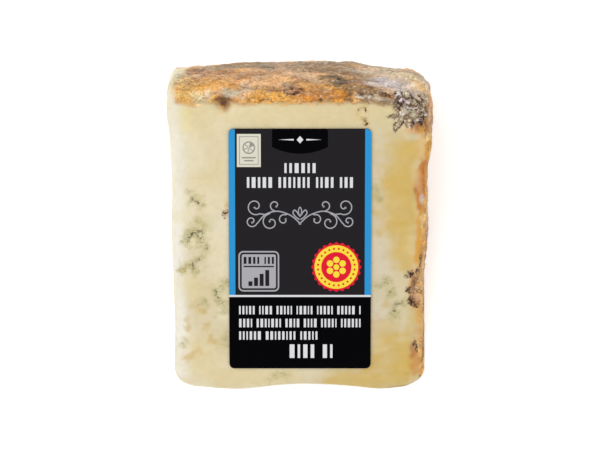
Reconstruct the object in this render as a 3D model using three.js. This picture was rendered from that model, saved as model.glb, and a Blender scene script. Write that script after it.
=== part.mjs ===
// A pre-packed wedge of blue-veined cheese in tight clear film, with a paper label on one cut face.
//
// The wedge is a sector of a disc sawn from a cheese wheel. It lies on its back cut face, so the other cut
// face, which carries the label, slopes up from the thin edge at the front to the rind at the back.
// The curved rind is the wheel's side. The right end is the wheel's own flat end, so it has rind too, and
// the left end is a cut. The film clings all over, and rounds every edge.
//
// Millimetres, +Z up, +Y from the thin edge towards the curved rind, +X towards the end with rind.
// The origin is at the centre of the base.

import * as THREE from "three";
import { mergeVertices } from "three/addons/utils/BufferGeometryUtils.js";

const { clamp, degToRad, lerp, smoothstep } = THREE.MathUtils;

// The wheel and the cut.
const WHEEL_RADIUS = 105.5;
const WEDGE_ANGLE = degToRad(30);
const TIP_CUT = 6.1; // from the wheel's axis to the blunt thin edge
const HALF_WIDTH = 38.4;
const RIND_BOW_LEFT = 2; // how much nearer the axis the rind is at each end than half way along
const RIND_BOW_RIGHT = 3.2;

// Both ends spread towards the rind, between two shares of the wheel's radius.
const LEFT_FLARE = { from: 0.8, to: 0.93, width: 1.2 };
const RIGHT_FLARE = { from: 0.7, to: 0.82, width: 1.3 };

// The thin edge sags outwards on both sides of its middle.
const TIP_SAGS = [
  { x: -21, reach: 9, depth: 0.7 },
  { x: 27, reach: 9, depth: 1.4 },
];

// How far each face's rounding reaches in from its edges. The two cut faces meet at a thin edge, so there
// theirs shrink to a share of the distance from the wheel's axis.
const BACK_ROUNDING = 2;
const BACK_ROUNDING_SHARE = 0.2;
const FRONT_ROUNDING = 4;
const FRONT_ROUNDING_SHARE = 0.3;
const RIND_ROUNDING = 6;
const TIP_ROUNDING = 6;
const LEFT_ROUNDING_AT_TIP = 7;
const LEFT_ROUNDING_AT_RIND = 2.4;
const RIGHT_ROUNDING_AT_TIP = 7;
const RIGHT_ROUNDING_AT_RIND = 7.5;

// Relief: the height of each kind of bump, and the size of its grain.
const SLUMP = { height: 0.9, grain: 19 };
const CRAGS = { height: 1.1, grain: 8.5 };
const GRIT = { height: 0.7, grain: 3.9 };
const CUT_WAVES = { height: 0.5, grain: 15 };
const RIND_FADE = 5; // width of the strip over which rind roughness dies away on a cut face

// The base is flat in the middle and out to four corners, and rises a little between them, so that the
// wedge lies steady. The corners are given across the wedge and from the wheel's axis.
const STANCE = { left: -34, right: 31, near: 14, far: 97, bow: 0.3, lift: 0.6 };

// The wheel's own corner, beside the label's top right, is a mass of wrinkled mould.
const MOULD_CORNER = { x: 34.5, radial: 98, reach: 15.5, height: 2.8, grain: 4.6 };

// A dent with a dark hollow where the rind meets the labelled face.
const RIND_DENT = { x: -22.8, radial: 100, reach: 4.2, depth: 1.6 };

// The label, centred across the wedge.
const LABEL_WIDTH = 43;
const LABEL_HEIGHT = 79.4;
const LABEL_THICKNESS = 0.4;
const LABEL_CORNER = 1.5;
const LABEL_MIDDLE = 52.6; // along the labelled face, from the wheel's axis
const LABEL_GAP = 0.3;
const LABEL_MARGIN = 3; // the cheese stays flat this far round the label

// Squares along each side of the grid that is wrapped round the wedge.
const GRID_ACROSS = 34;
const GRID_RADIAL = 36;
const GRID_THROUGH = 18;
const GRID_CROWDING = 0.1; // pulls the grid's lines towards the edges
const ROUNDING_STEPS = 12;

const alongFront = new THREE.Vector3(0, Math.cos(WEDGE_ANGLE), Math.sin(WEDGE_ANGLE));
const outOfFront = new THREE.Vector3(0, -Math.sin(WEDGE_ANGLE), Math.cos(WEDGE_ANGLE));
const alongMiddle = new THREE.Vector3(0, Math.cos(WEDGE_ANGLE / 2), Math.sin(WEDGE_ANGLE / 2));

// A repeatable value from -1 to 1 at each point of a whole-number lattice.
function latticeValue(i, j, k) {
  let hash = Math.imul(i, 374761393) ^ Math.imul(j, 668265263) ^ Math.imul(k, 1440662683);
  hash = Math.imul(hash ^ (hash >>> 13), 1274126177);
  hash ^= hash >>> 16;
  return (hash >>> 0) / 2147483647.5 - 1;
}

// Smooth noise from -1 to 1, with bumps about one grain across.
function noise(point, grain) {
  const cell = [point.x, point.y, point.z].map((value) => value / grain);
  const corner = cell.map(Math.floor);
  const ease = cell.map((value, axis) => smoothstep(value - corner[axis], 0, 1));
  let sum = 0;
  for (let di = 0; di < 2; di++)
    for (let dj = 0; dj < 2; dj++)
      for (let dk = 0; dk < 2; dk++) {
        const share =
          (di ? ease[0] : 1 - ease[0]) * (dj ? ease[1] : 1 - ease[1]) * (dk ? ease[2] : 1 - ease[2]);
        sum += share * latticeValue(corner[0] + di, corner[1] + dj, corner[2] + dk);
      }
  return sum;
}

// A point's place along the wedge: 0 at the wheel's axis and 1 at the rind.
function radialShare(point) {
  return clamp(Math.hypot(point.y, point.z) / WHEEL_RADIUS, 0, 1);
}

function halfWidth(point) {
  const share = radialShare(point);
  const flare = point.x < 0 ? LEFT_FLARE : RIGHT_FLARE;
  return HALF_WIDTH + flare.width * smoothstep(share, flare.from, flare.to);
}

// The rind's distance from the wheel's axis, which shrinks towards both ends.
function rindRadius(point) {
  const bow = point.x < 0 ? RIND_BOW_LEFT : RIND_BOW_RIGHT;
  return WHEEL_RADIUS - bow * (point.x / HALF_WIDTH) ** 2;
}

// How far the thin edge sags outwards.
function tipSag(point) {
  const sags = TIP_SAGS.map(({ x, reach, depth }) => depth * Math.exp(-(((point.x - x) / reach) ** 2)));
  return sags.reduce((total, sag) => total + sag, 0);
}

// The six faces: how far the point is outside each, and how far in from it the rounding starts.
function faces(point) {
  const radial = Math.hypot(point.y, point.z);
  const share = radialShare(point);
  const side = halfWidth(point);
  return {
    back: [-point.z, Math.min(BACK_ROUNDING, BACK_ROUNDING_SHARE * radial)],
    front: [point.dot(outOfFront), Math.min(FRONT_ROUNDING, FRONT_ROUNDING_SHARE * radial)],
    rind: [radial - rindRadius(point), RIND_ROUNDING],
    tip: [TIP_CUT - tipSag(point) - point.dot(alongMiddle), TIP_ROUNDING],
    left: [-point.x - side, lerp(LEFT_ROUNDING_AT_TIP, LEFT_ROUNDING_AT_RIND, share)],
    right: [point.x - side, lerp(RIGHT_ROUNDING_AT_TIP, RIGHT_ROUNDING_AT_RIND, share)],
  };
}

// Zero on the rounded wedge, positive outside it and negative inside.
function roundedForm(point) {
  const terms = Object.values(faces(point)).map(([outside, rounding]) => Math.max(outside / rounding + 1, 0));
  return Math.hypot(...terms) - 1;
}

function gradient(point) {
  const step = 0.01;
  const at = (dx, dy, dz) => roundedForm(new THREE.Vector3(point.x + dx, point.y + dy, point.z + dz));
  return new THREE.Vector3(
    at(step, 0, 0) - at(-step, 0, 0),
    at(0, step, 0) - at(0, -step, 0),
    at(0, 0, step) - at(0, 0, -step),
  ).divideScalar(2 * step);
}

// Moves a point of the sharp wedge onto the rounded one.
function ontoRoundedForm(point) {
  for (let step = 0; step < ROUNDING_STEPS; step++) {
    const slope = gradient(point);
    point.addScaledVector(slope, -roundedForm(point) / slope.lengthSq());
  }
  return point;
}

// 1 on the curved rind and the right end, falling to 0 a little way onto the cut faces.
function rindShare(point) {
  const { rind, right } = faces(point);
  return Math.max(smoothstep(rind[0], -RIND_FADE, -1), smoothstep(right[0], -RIND_FADE, -1));
}

// 1 in the label's footprint on the sloping face, and 0 past its margin.
function labelShare(point) {
  const beside = Math.abs(point.x) - LABEL_WIDTH / 2;
  const beyond = Math.abs(point.dot(alongFront) - LABEL_MIDDLE) - LABEL_HEIGHT / 2;
  const below = -point.dot(outOfFront);
  return 1 - smoothstep(Math.max(beside, beyond, below), LABEL_MARGIN / 2, LABEL_MARGIN);
}

// 1 at the centre of a patch of the labelled face, and 0 at its edge.
function patchShare(point, patch) {
  const away = Math.hypot(point.x - patch.x, point.dot(alongFront) - patch.radial, point.dot(outOfFront));
  return 1 - smoothstep(away, patch.reach * 0.35, patch.reach);
}

// 1 where the surface faces down, as the base does, and 0 where it faces sideways or up.
function restingShare(outward) {
  return smoothstep(-outward.z, 0.2, 0.8);
}

// How far the base rises at a point, between the corners that the wedge lies on.
function stanceLift(point) {
  const across = Math.abs((2 * point.x - STANCE.left - STANCE.right) / (STANCE.right - STANCE.left));
  const along = Math.abs((2 * point.y - STANCE.near - STANCE.far) / (STANCE.far - STANCE.near));
  const beside = across - 1 + STANCE.bow * (1 - along ** 2);
  const beyond = along - 1 + STANCE.bow * (1 - across ** 2);
  return STANCE.lift * (Math.max(beside, 0) + Math.max(beyond, 0));
}

// How far the surface stands out from the rounded form.
function relief(point, outward) {
  const free = (1 - restingShare(outward)) * (1 - labelShare(point));
  const rind = rindShare(point);
  const mould = patchShare(point, MOULD_CORNER);
  const rough = rind * (CRAGS.height * noise(point, CRAGS.grain) + GRIT.height * noise(point, GRIT.grain));
  const wrinkles = mould * MOULD_CORNER.height * (Math.abs(noise(point, MOULD_CORNER.grain)) - 0.3);
  const waves = SLUMP.height * noise(point, SLUMP.grain) + CUT_WAVES.height * noise(point, CUT_WAVES.grain);
  return free * (waves + rough + wrinkles - RIND_DENT.depth * patchShare(point, RIND_DENT));
}

// Crowds an evenly spaced value from -1 to 1 towards both ends.
function crowd(value) {
  return value + GRID_CROWDING * Math.sin(Math.PI * value);
}

// A grid wrapped round a cube becomes the sharp wedge, then the rounded one, then gets its relief.
function wedgeGeometry() {
  const box = new THREE.BoxGeometry(2, 2, 2, GRID_ACROSS, GRID_RADIAL, GRID_THROUGH);
  box.deleteAttribute("normal");
  box.deleteAttribute("uv");
  const geometry = mergeVertices(box);
  const position = geometry.attributes.position;
  const point = new THREE.Vector3();
  for (let index = 0; index < position.count; index++) {
    point.fromBufferAttribute(position, index);
    const radial = lerp(TIP_CUT, WHEEL_RADIUS, (1 + crowd(point.y)) / 2);
    const turn = (WEDGE_ANGLE * (1 + crowd(point.z))) / 2;
    const across = crowd(point.x) * HALF_WIDTH;
    ontoRoundedForm(point.set(across, radial * Math.cos(turn), radial * Math.sin(turn)));
    const outward = gradient(point).normalize();
    point.addScaledVector(outward, relief(point, outward));
    const lift = restingShare(outward) * stanceLift(point);
    position.setXYZ(index, point.x, point.y, Math.max(point.z, 0) + lift);
  }
  geometry.computeVertexNormals();
  return geometry;
}

function labelGeometry() {
  const halfWidthFlat = LABEL_WIDTH / 2 - LABEL_CORNER;
  const halfHeightFlat = LABEL_HEIGHT / 2 - LABEL_CORNER;
  const outline = new THREE.Shape();
  outline.absarc(halfWidthFlat, halfHeightFlat, LABEL_CORNER, 0, Math.PI / 2);
  outline.absarc(-halfWidthFlat, halfHeightFlat, LABEL_CORNER, Math.PI / 2, Math.PI);
  outline.absarc(-halfWidthFlat, -halfHeightFlat, LABEL_CORNER, Math.PI, Math.PI * 1.5);
  outline.absarc(halfWidthFlat, -halfHeightFlat, LABEL_CORNER, Math.PI * 1.5, Math.PI * 2);
  outline.closePath();
  return new THREE.ExtrudeGeometry(outline, {
    depth: LABEL_THICKNESS,
    bevelEnabled: false,
    curveSegments: 5,
  });
}

const wedge = new THREE.Mesh(
  wedgeGeometry(),
  new THREE.MeshStandardMaterial({ color: 0xe0cfa4, roughness: 0.45, metalness: 0 }),
);
wedge.name = "wedge";

const label = new THREE.Mesh(
  labelGeometry(),
  new THREE.MeshStandardMaterial({ color: 0x252326, roughness: 0.4, metalness: 0 }),
);
label.name = "label";
label.rotation.x = WEDGE_ANGLE;
label.position.copy(alongFront).multiplyScalar(LABEL_MIDDLE).addScaledVector(outOfFront, LABEL_GAP);

// The pieces are placed from the wheel's axis, and the whole is then moved to stand over its origin.
const whole = new THREE.Group();
whole.add(wedge, label);
const middle = new THREE.Box3().setFromObject(whole).getCenter(new THREE.Vector3());
whole.position.set(-middle.x, -middle.y, 0);

export default whole;
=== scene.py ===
"""The looks of a wedge of blue-veined cheese in tight clear film, with a paper label, for Blender 4.5.

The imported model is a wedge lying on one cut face, with the labelled cut face sloping up from the thin edge at
the front to the curved rind at the back. Its right end has rind too, and its left end is a cut.

Shapes are worked out in millimetres from the wheel's axis, as the wedge was cut from a wheel: +X across,
+Y from the axis to the rind along the base, +Z up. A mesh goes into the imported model's frame, in metres,
as it is made. Places on the labelled face are given across it, from its middle, and along it, from the
wheel's axis.
"""

import math

import bpy
import numpy as np
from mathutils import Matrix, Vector
from mathutils.geometry import tessellate_polygon


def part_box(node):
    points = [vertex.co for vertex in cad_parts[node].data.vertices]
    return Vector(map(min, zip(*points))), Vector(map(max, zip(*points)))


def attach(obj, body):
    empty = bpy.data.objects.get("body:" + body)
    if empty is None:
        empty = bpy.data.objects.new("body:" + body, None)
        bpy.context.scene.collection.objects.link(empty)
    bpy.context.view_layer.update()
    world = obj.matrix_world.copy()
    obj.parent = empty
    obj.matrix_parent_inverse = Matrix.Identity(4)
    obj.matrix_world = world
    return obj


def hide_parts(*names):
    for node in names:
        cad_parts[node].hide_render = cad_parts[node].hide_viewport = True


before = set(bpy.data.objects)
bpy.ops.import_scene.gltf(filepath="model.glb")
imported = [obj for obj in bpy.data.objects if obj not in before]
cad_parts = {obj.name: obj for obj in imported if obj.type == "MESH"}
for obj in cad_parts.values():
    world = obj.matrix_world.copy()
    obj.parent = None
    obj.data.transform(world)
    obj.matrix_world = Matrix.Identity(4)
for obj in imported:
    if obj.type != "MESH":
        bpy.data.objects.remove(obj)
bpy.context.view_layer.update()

METRES = 0.001

# The wheel and the cut, as in the solid.
WHEEL_RADIUS = 105.5
WEDGE_ANGLE = math.radians(30)
TIP_CUT = 6.1
HALF_WIDTH = 38.4
RIND_BOW_LEFT = 2.0
RIND_BOW_RIGHT = 3.2
LEFT_FLARE = (0.8, 0.93, 1.2)  # from and to which share of the radius, and how wide
RIGHT_FLARE = (0.7, 0.82, 1.3)
TIP_SAGS = ((-21.0, 9.0, 0.7), (27.0, 9.0, 1.4))  # across, reach and depth

# How far each face's rounding reaches in, as in the solid.
BACK_ROUNDING = 2.0
BACK_ROUNDING_SHARE = 0.2
FRONT_ROUNDING = 4.0
FRONT_ROUNDING_SHARE = 0.3
RIND_ROUNDING = 6.0
TIP_ROUNDING = 6.0
LEFT_ROUNDING = (7.0, 2.4)  # at the thin edge and at the rind
RIGHT_ROUNDING = (7.0, 7.5)

# The label, as in the solid.
LABEL_WIDTH = 43.0
LABEL_HEIGHT = 79.4
LABEL_MIDDLE = 52.6
LABEL_GAP = 0.3
LABEL_THICKNESS = 0.4
LABEL_CORNER = 1.5
LABEL_MARGIN = 3.0  # half of this round it is flat

# The solid's relief. Noise is given here and below as its height, grain, stretch across the wedge and layer,
# and the last two may be left out.
WAVES = ((0.9, 19.0), (0.5, 15.0))
CRAGS = (1.1, 8.5)
GRIT = (0.7, 3.9)
RIND_FADE = 5.0
MOULD_CORNER = {"across": 34.5, "along": 98.0, "reach": 15.5, "height": 2.8, "grain": 4.6, "sunk": 0.3}
RIND_DENT = {"across": -22.8, "along": 100.0, "reach": 4.2, "depth": 1.6}
PATCH_CORE = 0.35  # the share of its reach over which a patch is at its full height
RESTING = (0.2, 0.8)  # how far down the surface faces where it starts to rest, and where it does
TIP_FOOT = 6.0  # how far under the wedge the thin edge's foot moves with its waves
STANCE = {"across": (-34.0, 31.0), "along": (14.0, 97.0), "bow": 0.3, "lift": 0.6}

# Cells across, along and through the grid that is wrapped round the wedge, and how they crowd to its edges.
CELLS = (160, 150, 80)
CROWDING = (0.2, 0.1, 0.15)
ROUNDING_STEPS = 12

# The film lies where the solid's surface is, and the cheese a little under it.
CHEESE_INSET = 0.15
FILM_REACH = 60  # how many times the film is drawn tight over the hollows
FILM_DIP = 0.6  # how far under the solid's surface the film may dip into a hollow

# Relief too fine for the solid.
RIND_CREASES = {"height": 0.6, "grain": 3.0, "stretch": 1.5, "width": 0.24}
RIND_GRAIN = {"height": 0.4, "grain": 1.3, "sunk": 0.35}
MOULD_LUMPS = {"height": 1.3, "grain": 3.2, "stretch": 0.75, "layer": 64, "gap": 0.45, "sunk": 0.7}
MOULD_EDGE = 0.3
CUT_CRUMB = (0.1, 2.6, 1, 32)
VEIN_DEPTH = 0.3
PIT_DEPTH = 0.5

# How deep the rind goes in from the curved side, at places across, and how far across the rough rind of the
# flat end begins, at places along the labelled face. On the flat end itself it is at least this deep.
CURVED_RIND_DEPTHS = ((-38, 3.2), (-18, 4.7), (0, 5.3), (15, 4.0))
END_RIND_EDGE = ((31, 38.5), (35.3, 34.6), (42, 34.2), (46.5, 38.5), (89.4, 38.5), (91.5, 36.2), (93.5, 34.8))
END_RIND_DEPTH = 1.1
# The left end's edge has no rind: from so far across at the labelled face, and so much nearer the middle for
# each millimetre down, until between these depths it draws back over the edge.
LEFT_BARE = {"across": -37.8, "slant": 0.15, "ends": (24.0, 46.0), "back": 5.0}
LEFT_BARE_WANDER = ((0.4, 4, 1, 19),)
RIND_WANDER = ((0.6, 5.5, 1, 3), (0.35, 2.2, 1, 4))
FACE_EDGE = (-9.0, -4.0)  # the heights over the labelled face between which its colours fade in
LABEL_EASE = 9.0  # how far from the label the relief comes in
END_CALM = 0.6  # how much of the solid's finer relief the film holds down on the flat end
PRESSED = 0.5  # how much of its height the rind keeps under the film where it stands out
MOULD_FLAT = 0.35  # how much of the solid's wrinkles is left where the corner has no mould

# Where the corner is mouldy, across the rind and down from the line where it begins, or up from it on the
# labelled face. Each is half the width of a line, and the places that it goes through.
MOULD = (
    (1.6, (29.1, 3.2), (29.5, -4.4)), (2, (30.2, -4.2), (32, -6)), (1.7, (31.8, 3), (31.8, -4)),
    (1.8, (34.5, 2.4), (34.6, -4.4)), (1.9, (37.2, 0.6), (37.5, -3.6)),
)
RIND_LINE = 99.2  # along the labelled face, where its cut surface ends and the rind begins
LIP = 6.0  # from there to the rind's outer side

# How noise moves what is placed about, as amount, grain and layer.
MOULD_WARP = ((0.8, 2.2, 56), (0.35, 0.9, 44))
MARK_WARP = ((0.7, 2.6, 48), (0.25, 1.0, 52))
DAB_WARP = ((1.0, 7, 14),)
DAB_EDGE = ((1, 1.3, 1.3, 61), (1, 3.4, 1.6, 62))

# The veins on the faces that carry no placed marks: their course, and what breaks them.
VEIN_COURSE = ((1, 12, 1, 20), (0.5, 5, 1, 21))
VEIN_BREAKS = ((1, 7, 1, 22), (0.4, 2.5, 1, 23))
HIDDEN_VEINS = {"course": 5.5, "breaks": 3.0, "broken": 0.15, "half_width": 0.2}

FAR = 30.0  # further than any mark's edge counts
TINY = 1e-9
LAYER_SHIFT = 53.0  # how many cells of noise apart two layers are

ALONG_FRONT = np.array([0, math.cos(WEDGE_ANGLE), math.sin(WEDGE_ANGLE)])
OUT_OF_FRONT = np.array([0, -math.sin(WEDGE_ANGLE), math.cos(WEDGE_ANGLE)])
ALONG_MIDDLE = np.array([0, math.cos(WEDGE_ANGLE / 2), math.sin(WEDGE_ANGLE / 2)])

# The camera looks down on the labelled face from a little beyond its normal, over the rind.
CAMERA_ELEVATION = math.radians(84)
CAMERA_DISTANCE = 2.2
CAMERA_AIM_ALONG = 60.55
VIEW_WIDTH = 0.1813
SENSOR_WIDTH = 36.0

# Colours as they look in full light, in red, green and blue from 0 to 255.
LIGHT_LEVEL = 1.39  # how much brighter than white paper's own colour a surface looks in this light
PALE = (231, 220, 189)
PALE_GREY = (209, 195, 160)
EDGE_PALE = (237, 236, 228)
CREAM = (232, 214, 168)
LIGHT_YELLOW = (222, 202, 150)
YELLOW = (210, 176, 90)
STRAW = (236, 220, 150)
GOLD = (238, 196, 110)
TAN = (220, 170, 116)
LIGHT_TAN = (230, 184, 112)
ORANGE = (228, 164, 70)
BURNT = (202, 120, 30)
AMBER = (222, 160, 58)
PINK = (224, 180, 142)
BROWN = (160, 106, 62)
UMBER = (140, 112, 78)
PEACH = (218, 188, 152)
GREY = (174, 156, 132)
LAVENDER = (212, 201, 197)
# Pale bloom, also laid in small dabs as painted glints.
WHITE_BLOOM_AND_GLINT = (222, 210, 190)
OLIVE = (124, 102, 64)
SAGE = (190, 178, 151)
LILAC = (208, 197, 196)
DARK = (66, 50, 34)
# The dark of cracks and clefts, also laid as painted shade in hollows.
CRACK_DARK_AND_SHADE = (66, 42, 26)
SPECK = (124, 80, 52)
GLINT = (246, 222, 182)
VEIN_CORE = (72, 72, 58)
VEIN_HALO = (188, 178, 118)
STAIN = (206, 175, 106)
PIT = (44, 26, 10)

# The colours of the paste and of the rind, before anything is placed on them.
RIPENESS = 0.28
RIPENESS_VARIES = ((0.3, 13, 1, 5), (0.2, 5, 1, 6), (0.1, 2, 1, 18))
RIPE_BY_RIND = {"strength": 0.6, "depth": 3.0}
GREYER = {"strength": 0.7, "across": (-15, 25)}
RIND_LIP = {"depths": (0.5, 3.2), "elsewhere": 0.25, "strength": 0.65}  # its orange inner edge
RIND_LIP_VARIES = ((0.5, 3, 1, 11),)
RIND_PATCHES = (  # colour, strength, where in the noise they begin and end, and its grain, stretch and layer
    (PINK, 0.6, 0.0, 0.5, 7, 1.8, 7),
    (ORANGE, 0.8, 0.0, 0.45, 4.5, 1.8, 8),
    (GREY, 0.6, 0.2, 0.55, 8, 1.8, 9),
    (BROWN, 0.8, 0.05, 0.45, 3.4, 2.2, 10),
)
# Spots over the rind. The glint spots are painted highlights.
RIND_SPOTS = (  # colour, grain, where in the noise they begin and end, and strength
    (ORANGE, 1.5, 0.55, 0.66, 0.6),
    (WHITE_BLOOM_AND_GLINT, 2.0, 0.56, 0.66, 0.35),
    (GLINT, 0.9, 0.57, 0.64, 0.6),
    (SPECK, 1.1, 0.42, 0.35, 0.6),
)

# Colours laid on the paste and the rind round the marks on them, in order: the mark, which noise makes its
# edge uneven and how much, how far outside the edge the colour begins, where it is full, its strength, the
# colour, and the pattern that it keeps to.
PASTE_LAYERS = (
    ("stain", "coarse", 5.0, 1.4, -0.6, 0.65, STAIN, None),
    ("vein", "coarse", 6.0, 2.9, -0.3, 0.6, VEIN_HALO, None),
    ("vein", "coarse", 6.0, 1.7, 0.4, 0.6, VEIN_CORE, "threads"),
    ("vein", "fine", 3.6, 0.3, -0.4, 0.85, VEIN_CORE, None),
    ("pit", "fine", 1.2, 1.1, 0.1, 0.55, BROWN, None),
    ("pit", "fine", 1.2, 1.1, 0.5, 0.95, PIT, "specks"),
    ("pit", "fine", 1.2, 0.3, -0.1, 0.97, PIT, None),
)
CLEFT_LAYERS = (
    ("cleft", "fine", 2.2, 0.9, 0.0, 0.6, SPECK, None),
    ("cleft", "fine", 2.2, 0.6, 0.1, 0.95, CRACK_DARK_AND_SHADE, "streaks"),
)

INKS = {
    "charcoal": (37, 35, 38),
    "black": (5, 5, 7),
    "blue": (47, 149, 210),
    "silver": (171, 170, 175),
    "white": (222, 222, 224),
    "cream": (219, 216, 199),
    "pewter": (150, 147, 138),
    "red": (224, 32, 54),
    "yellow": (248, 219, 66),
}

# The label lies on the film. Its print is drawn as it looks from the camera, in millimetres from its middle,
# and is stretched along the label when it is laid on. Each layer of ink is this thick.
PAPER_LIFT = 0.1
PAPER_THICKNESS = 0.32
INK_LAYER = 0.02
PRINT_HEIGHT = 72.56
PRINT_STRETCH = LABEL_HEIGHT / PRINT_HEIGHT
STRIPE_WIDTH = 1.9
FIELD_TOP = -14.4
SEPARATOR = 0.6
WORD_LINES = (  # left, right, low, high, a block's width with its gap, the seed and the layer of ink
    (-4.7, 4.7, 23.1, 26.05, 1.55, 3, 0),
    (-16.0, 15.95, 18.65, 21.85, 1.7, 8, 0),
    (-18.5, 18.4, -19.7, -17.15, 1.25, 20, 1),
    (-18.5, 18.4, -23.65, -21.05, 1.25, 21, 1),
    (-18.5, 5.3, -27.45, -24.9, 1.25, 22, 1),
    (-3.15, 9.9, -33.05, -28.9, 2.2, 31, 1),
)
SEAL = {"centre": (11.0, -5.3), "radius": 7.35, "teeth": 24, "petals": 6}
# As shares of the seal's radius: how far out each kind of shape is, and its own radius.
SEAL_TEETH = (0.955, 0.075)
SEAL_DOTS = (0.76, 0.045)
SEAL_PETALS = (0.3, 0.135)
SEAL_DISCS = {"rim": 0.9, "field": 0.62, "bud": 0.12}
BADGE = {"edges": (-18.65, -6.3, -12.75, -0.43), "corner": 1.5, "ring": 0.45, "gap": 1.0, "margin": 1.6}
BARS = {"count": 4, "pitch": 1.7, "gap": 0.5, "low": 1.7, "height": 1.4, "rise": 1.15}
PANEL = {"edges": (-19.0, -11.8, 24.9, 34.8), "inset": 0.7, "line": 0.18}
SPOKES = (140, 200, 260, 320)  # their angles in degrees
WHEEL = {"down": 4.1, "inner": 1.55, "middle": 1.6, "outer": 1.9, "line": 0.22}
TAB = {"half_width": 8.4, "side": 30.9, "low": 28.9}
SCROLL_WIDTH = 0.34

# The stage, in metres: each lamp's name, place, size and power.
LAMPS = (("key", (-0.42, 0.1, 0.85), 0.8, 4.0), ("glint", (0.12, 0.6, 0.7), 0.06, 0.5))
SKY_STRENGTH = 1.1
FLOOR = {"reach": 4, "grey": 0.95, "glow": 0.18}

# Marks on the labelled face: each is how far the mark's edge is from a line, and the places across and along
# the face that the line goes through. A mark with an edge below zero shows only where noise widens it.
VEINS = (
    (0.25, (-32.6, 69.7), (-31.1, 68.7), (-30.1, 67.4)),
    (0.35, (-34.1, 54.8), (-33.2, 57.5), (-31.7, 58.2), (-29.3, 58.2)),
    (0.35, (-31.4, 57.2), (-30.5, 55.5), (-28.4, 52.9)), (0.15, (-29.3, 58.2), (-29, 55.8)),
    (-0.1, (-31, 61.5), (-29, 59.5)), (0.25, (-32.3, 47.9), (-30.8, 49.2), (-29.9, 49.9)),
    (0.15, (-35.3, 45.9), (-33.2, 47.2), (-32, 46.6), (-30.8, 45.6)), (0.15, (-32, 47.9), (-32.3, 45.9)),
    (0.35, (-26.3, 39), (-25.7, 37.7), (-24.8, 36.7)), (-0.05, (-24.5, 36), (-23.3, 34), (-23.6, 31.7)),
    (0, (-23.3, 40.6), (-22.4, 41.6)), (-0.1, (-29.6, 34.4), (-28.6, 35.2)),
    (0.2, (29, 30), (28.5, 31.7), (29, 33.2), (31.1, 34.2)),
    (-0.05, (23.9, 40.3), (25.4, 41), (27.2, 42.1)), (0, (27.6, 38.3), (27.8, 38)),
    (0.1, (23, 72.7), (23.1, 72.4)), (0.15, (23.3, 70.1), (23.4, 69.7)), (0, (-36.4, 21.1), (-36.3, 20.8)),
    (-0.1, (-22.7, 22.8), (-22.1, 21.8)), (-0.1, (-7.6, 9.2), (-5.1, 9.5)),
)
STAINS = (
    (0.4, (-32.3, 33.7), (-29.6, 32)), (0.5, (-28.2, 27.1), (-28.1, 26.1)),
    (0.2, (-34.6, 28.7), (-34.4, 25.1)), (0.3, (-27.5, 23.1), (-26.9, 22.1)),
    (0.4, (-26, 21.8), (-25.1, 20.8)), (0.2, (-21.9, 67.4), (-22.2, 66)),
    (0.3, (-34.7, 15.5), (-31.1, 18.8)), (0.3, (26, 34), (26.6, 35.7)), (0.1, (22.2, 64.8), (22.4, 64.4)),
    (0, (24.2, 58.5), (24.8, 55.8)), (0.3, (-35.6, 45.3), (-33.2, 46.6)), (0.3, (33.5, 71.7), (34.4, 70.7)),
    (0.2, (17.5, 98.2), (17.5, 97.8)), (0.3, (19.3, 98.8), (19.6, 98.5)), (0.5, (18.1, 95.5), (18.4, 95.2)),
    (0.6, (19.3, 94.3), (19.9, 93.5)),
)
# Small dark hollows and specks. Some darken the middle of a stain.
PITS = (
    (0.2, (-22.3, 65), (-22.5, 63.4)), (0.2, (32.6, 43.4), (33.4, 44.4), (34.2, 43.4)),
    (0.4, (35.4, 41.4), (36.6, 40.4)), (0.3, (35, 39.2), (35.4, 38.9)), (0.35, (34.2, 37), (35.4, 36.4)),
    (0.3, (36.4, 38.2), (36.7, 37.6)), (0.2, (33, 38.6), (33.6, 38.2)), (0.25, (36, 44.4), (37, 42.8)),
    (0.5, (34, 34.8), (35.2, 33.8)), (0.45, (36, 33.6), (36.6, 32.7)), (0.3, (36.6, 35.8), (36.9, 35.2)),
    (0.3, (38.6, 48.6), (38.8, 46)), (0.3, (38, 44.4), (38.2, 43.6)), (0.1, (35, 20.6), (35.3, 20.2)),
    (0.1, (36.6, 18.8), (36.7, 18.4)), (-0.4, (17.4, 98.2), (17.7, 97.9)),
    (-0.3, (19.2, 98.4), (19.6, 98.1)), (-0.3, (18.2, 95.6), (18.5, 95.3)),
    (-0.25, (19.4, 94.2), (19.9, 93.6)), (0.3, (35.6, 40.6), (36.8, 38.8)),
    (0.3, (35.4, 34.8), (36.6, 34.4)),
)
# The hole where the rind meets the labelled face, brown inside and under a grey cap, and two soft patches.
# They lie over rind and paste alike, and are placed as the rind's changes of colour are, further down.
HOLE_DABS = (
    (-31.4, 4.2, -30, 1.2, 2.2, CREAM, 0.65), (-23.6, 2.4, -22, 0.4, 2.2, BROWN, 0.9),
    # The dark dab second on the next line, at the hole's bottom, is painted shade.
    (-21, 2.6, -19.4, 2.2, 1.3, BROWN, 0.5), (-23.2, 1, -22.6, -0.4, 0.9, CRACK_DARK_AND_SHADE, 0.6),
    (-25.2, 0.5, -24.8, 0.3, 0.7, BROWN, 0.7), (-21.9, 4.4, -20, 4.6, 1.4, SAGE, 0.9),
    (-37.6, 20, -38.4, 16, 2, LIGHT_YELLOW, 0.7),
)
HOLE = (1.4, (-23.2, 0.6), (-22.4, 1.6))
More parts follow.
